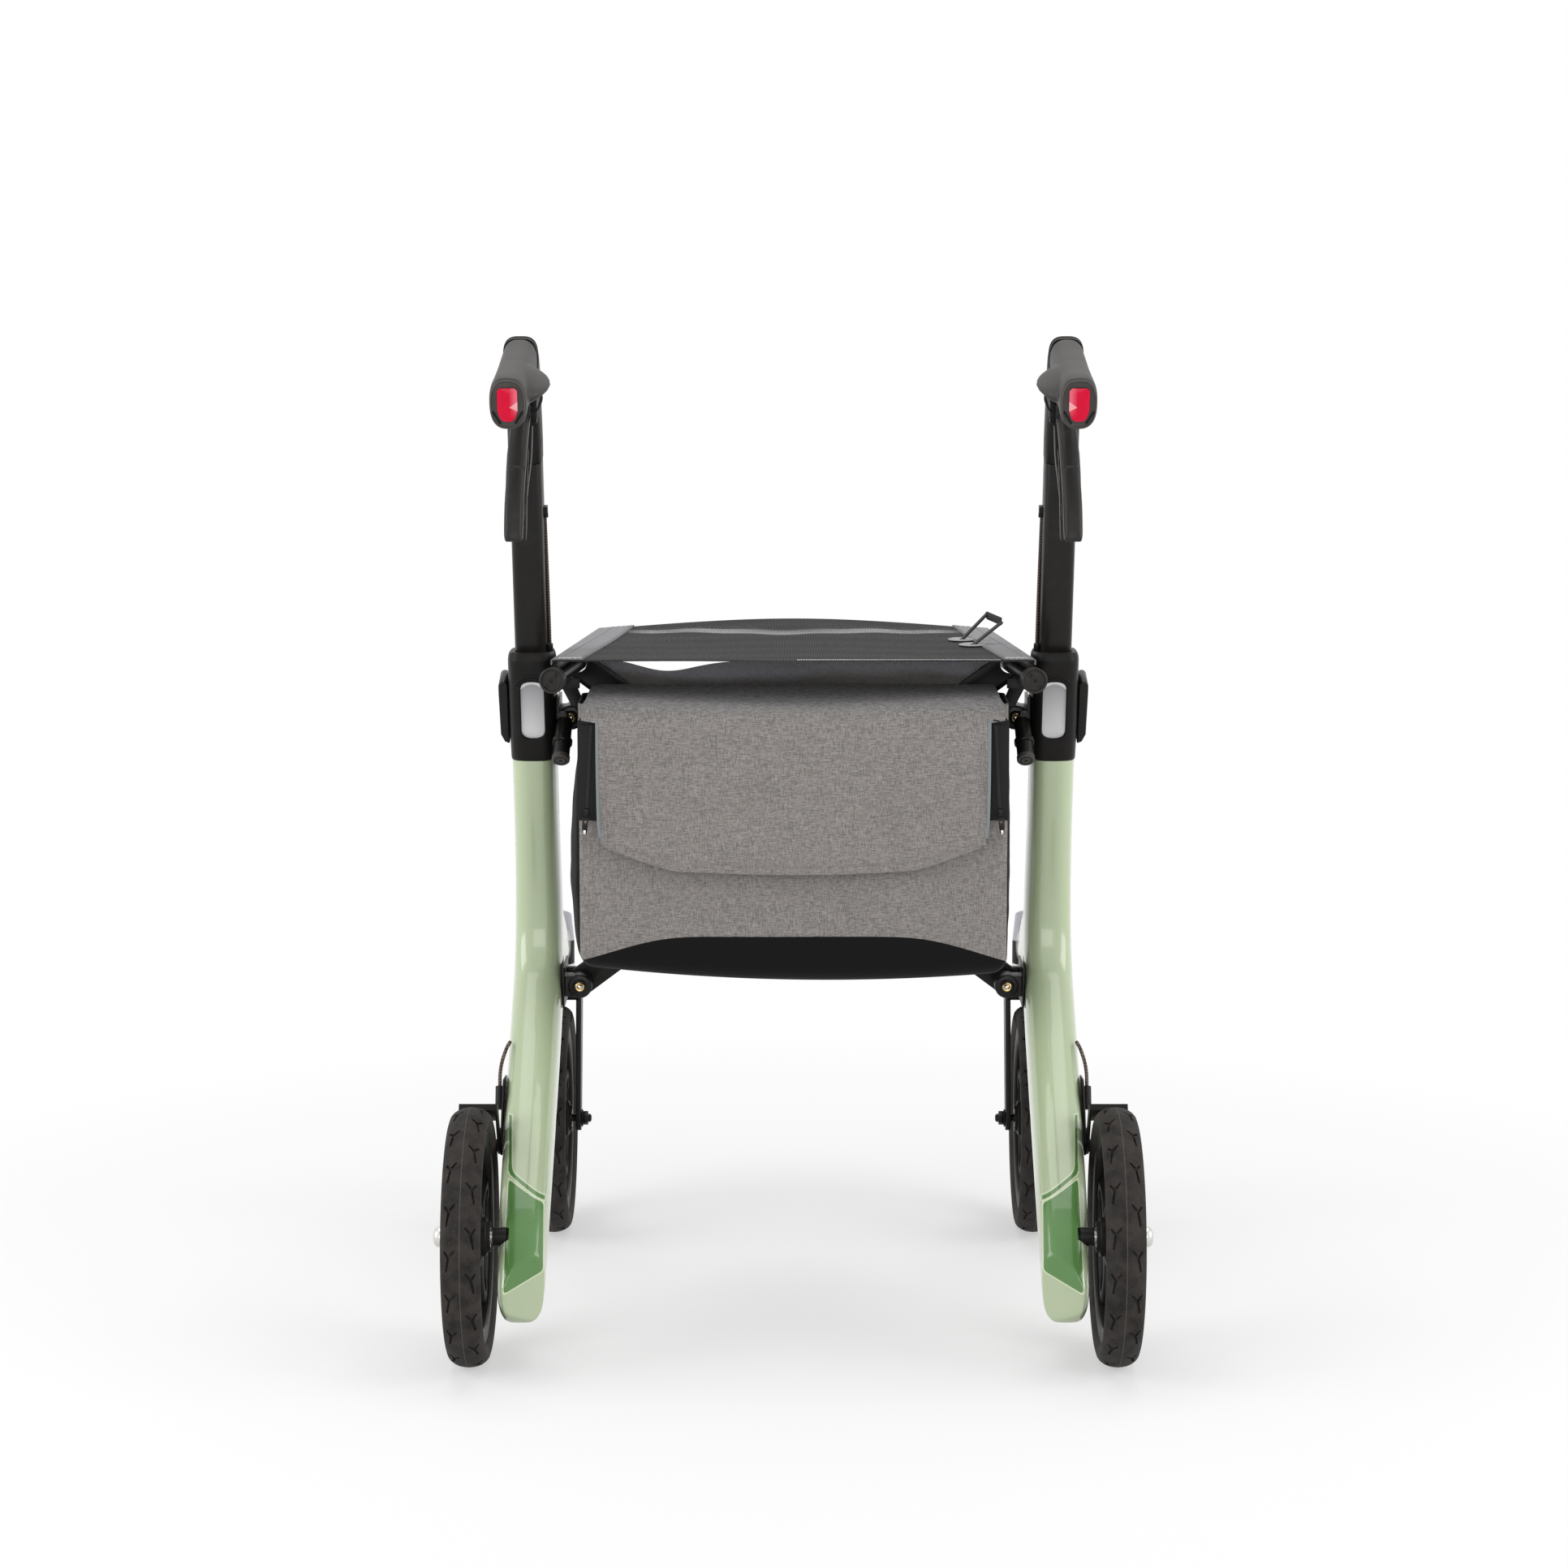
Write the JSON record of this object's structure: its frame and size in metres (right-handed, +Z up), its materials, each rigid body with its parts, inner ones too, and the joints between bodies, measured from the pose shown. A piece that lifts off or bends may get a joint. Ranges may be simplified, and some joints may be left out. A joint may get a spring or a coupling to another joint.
{
  "type": "rollator",
  "caption": "Folding four-wheeled rollator with green carbon side frames, a mesh seat over a scissor, hand brakes and a bag.",
  "frame": {"origin": "centre of the bounding box on the floor, half way between the rear and front axles", "axes": "+X towards the user's right, +Y forward, +Z up"},
  "size_m": [0.6188, 0.672, 0.8766],
  "materials": {
    "carbon_shell": "gloss lacquer",
    "black_plastic": "fine satin grain",
    "pale_reflector": "brushed look",
    "black_tube": "black anodised",
    "grip_rubber": "matte",
    "red_lens": "prismatic",
    "cable_braid": "braided",
    "black_steel": "black coating",
    "plated_steel": "zinc plated",
    "tyre_rubber": "matte with sipes",
    "white_plastic": "satin",
    "seat_mesh": "open spacer mesh with pale hems",
    "grey_cloth": "heather weave",
    "black_webbing": "ribbed webbing"
  },
  "bodies": {
    "left_side": {"left_frame": "carbon_shell", "left_hub_housing": "black_plastic", "left_hub_reflector": "pale_reflector", "left_brake_cable_lower": "cable_braid", "left_brake_bracket": "black_steel", "left_rear_axle": "plated_steel", "left_steering_head": "black_plastic", "left_head_cap": "white_plastic", "left_upper_bracket": "black_steel", "left_lower_bracket": "black_steel", "bag": "grey_cloth", "bag_flap": "grey_cloth"},
    "left_handle": {"left_height_tube": "black_tube", "left_handle_body": "black_plastic", "left_grip": "grip_rubber", "left_grip_reflector": "red_lens", "left_brake_cable_upper": "cable_braid"},
    "left_lever": {"left_brake_lever": "black_plastic"},
    "left_clamp": {"left_clamp_lever": "black_plastic"},
    "left_brake": {"left_brake_shoe": "black_steel"},
    "left_rear_wheel": {"left_rear_rim": "black_plastic", "left_rear_tyre": "tyre_rubber"},
    "left_caster": {"left_fork": "black_tube", "left_front_axle": "black_steel"},
    "left_front_wheel": {"left_front_rim": "black_plastic", "left_front_tyre": "tyre_rubber"},
    "left_link": {"left_guide_link": "black_steel"},
    "right_side": {"right_frame": "carbon_shell", "right_hub_housing": "black_plastic", "right_hub_reflector": "pale_reflector", "right_brake_cable_lower": "cable_braid", "right_brake_bracket": "black_steel", "right_rear_axle": "plated_steel", "right_steering_head": "black_plastic", "right_head_cap": "white_plastic", "right_upper_bracket": "black_steel", "right_lower_bracket": "black_steel"},
    "right_handle": {"right_height_tube": "black_tube", "right_handle_body": "black_plastic", "right_grip": "grip_rubber", "right_grip_reflector": "red_lens", "right_brake_cable_upper": "cable_braid"},
    "right_lever": {"right_brake_lever": "black_plastic"},
    "right_clamp": {"right_clamp_lever": "black_plastic"},
    "right_brake": {"right_brake_shoe": "black_steel"},
    "right_rear_wheel": {"right_rear_rim": "black_plastic", "right_rear_tyre": "tyre_rubber"},
    "right_caster": {"right_fork": "black_tube", "right_front_axle": "black_steel"},
    "right_front_wheel": {"right_front_rim": "black_plastic", "right_front_tyre": "tyre_rubber"},
    "right_link": {"right_guide_link": "black_steel"},
    "rear_strut": {"strut_rear": "black_tube", "cross_pivot": "black_steel"},
    "front_strut": {"strut_front": "black_tube"},
    "left_seat": {"left_seat_rod": "black_tube", "seat_fabric": "seat_mesh", "bag_front_flap": "grey_cloth"},
    "right_seat": {"right_seat_rod": "black_tube", "pull_strap": "black_webbing"}
  },
  "joints": [
    {"name": "fold", "type": "hinge", "parent": "left_side", "child": "rear_strut", "pos_m": [-0.195, 0.03, 0.2855], "axis": [0, -1, 0], "range_deg": [0, 38], "deforming": ["seat_fabric", "bag_front_flap", "bag", "bag_flap"]},
    {"name": "fold_cross", "type": "hinge", "parent": "rear_strut", "child": "front_strut", "pos_m": [0, 0.039, 0.43143], "axis": [0, -1, 0], "range_deg": [-76, 0]},
    {"name": "fold_right_foot", "type": "hinge", "parent": "front_strut", "child": "right_side", "pos_m": [0.195, 0.039, 0.2855], "axis": [0, -1, 0], "range_deg": [0, 38]},
    {"name": "fold_right_rod", "type": "hinge", "parent": "rear_strut", "child": "right_seat", "pos_m": [0.1972, 0.03, 0.579], "axis": [0, -1, 0], "range_deg": [-38, 0]},
    {"name": "fold_left_rod", "type": "hinge", "parent": "front_strut", "child": "left_seat", "pos_m": [-0.1972, 0.039, 0.579], "axis": [0, -1, 0], "range_deg": [0, 38]},
    {"name": "left_link_swing", "type": "hinge", "parent": "left_side", "child": "left_link", "pos_m": [-0.1995, 0.0195, 0.5355], "axis": [0, -1, 0], "range_deg": [0, 87.25]},
    {"name": "left_height", "type": "slide", "parent": "left_side", "child": "left_handle", "axis": [0, -0.2807, 0.9598], "range_m": [-0.075, 0.06]},
    {"name": "left_squeeze", "type": "hinge", "parent": "left_handle", "child": "left_lever", "pos_m": [-0.2336, -0.1235, 0.812], "axis": [-1, 0, 0], "range_deg": [0, 22], "stiffness_Nm_per_rad": 1.5, "springref_deg": -11.46},
    {"name": "left_clamp_swing", "type": "hinge", "parent": "left_side", "child": "left_clamp", "pos_m": [-0.2593, -0.02023, 0.5695], "axis": [0, 0.9598, 0.2807], "range_deg": [0, 100]},
    {"name": "left_brake_swing", "type": "hinge", "parent": "left_side", "child": "left_brake", "pos_m": [-0.2597, -0.128, 0.168], "axis": [1, 0, 0], "range_deg": [0, 3.52]},
    {"name": "left_rear_roll", "type": "hinge", "parent": "left_side", "child": "left_rear_wheel", "pos_m": [-0.2774, -0.225, 0.111], "axis": [1, 0, 0], "continuous": true},
    {"name": "left_swivel", "type": "hinge", "parent": "left_side", "child": "left_caster", "pos_m": [-0.2336, 0.262, 0.2535], "axis": [0, 0, 1], "continuous": true},
    {"name": "left_front_roll", "type": "hinge", "parent": "left_caster", "child": "left_front_wheel", "pos_m": [-0.2336, 0.225, 0.111], "axis": [1, 0, 0], "continuous": true},
    {"name": "right_link_swing", "type": "hinge", "parent": "right_side", "child": "right_link", "pos_m": [0.1995, 0.0195, 0.5355], "axis": [0, -1, 0], "range_deg": [-87.25, 0]},
    {"name": "right_height", "type": "slide", "parent": "right_side", "child": "right_handle", "axis": [0, -0.2807, 0.9598], "range_m": [-0.075, 0.06]},
    {"name": "right_squeeze", "type": "hinge", "parent": "right_handle", "child": "right_lever", "pos_m": [0.2336, -0.1235, 0.812], "axis": [-1, 0, 0], "range_deg": [0, 22], "stiffness_Nm_per_rad": 1.5, "springref_deg": -11.46},
    {"name": "right_clamp_swing", "type": "hinge", "parent": "right_side", "child": "right_clamp", "pos_m": [0.2593, -0.02023, 0.5695], "axis": [0, -0.9598, -0.2807], "range_deg": [0, 100]},
    {"name": "right_brake_swing", "type": "hinge", "parent": "right_side", "child": "right_brake", "pos_m": [0.2597, -0.128, 0.168], "axis": [1, 0, 0], "range_deg": [0, 3.52]},
    {"name": "right_rear_roll", "type": "hinge", "parent": "right_side", "child": "right_rear_wheel", "pos_m": [0.2774, -0.225, 0.111], "axis": [1, 0, 0], "continuous": true},
    {"name": "right_swivel", "type": "hinge", "parent": "right_side", "child": "right_caster", "pos_m": [0.2336, 0.262, 0.2535], "axis": [0, 0, 1], "continuous": true},
    {"name": "right_front_roll", "type": "hinge", "parent": "right_caster", "child": "right_front_wheel", "pos_m": [0.2336, 0.225, 0.111], "axis": [1, 0, 0], "continuous": true}
  ],
  "couplings": [
    {"joint": "fold_cross", "follows": "fold", "ratio": -2},
    {"joint": "fold_right_foot", "follows": "fold", "ratio": 1},
    {"joint": "fold_right_rod", "follows": "fold", "ratio": -1},
    {"joint": "fold_left_rod", "follows": "fold", "ratio": 1},
    {"joint": "left_link_swing", "follows": "fold", "ratio": 2.2961},
    {"joint": "left_brake_swing", "follows": "left_squeeze", "ratio": 0.16},
    {"joint": "right_link_swing", "follows": "fold", "ratio": -2.2961},
    {"joint": "right_brake_swing", "follows": "right_squeeze", "ratio": 0.16}
  ]
}
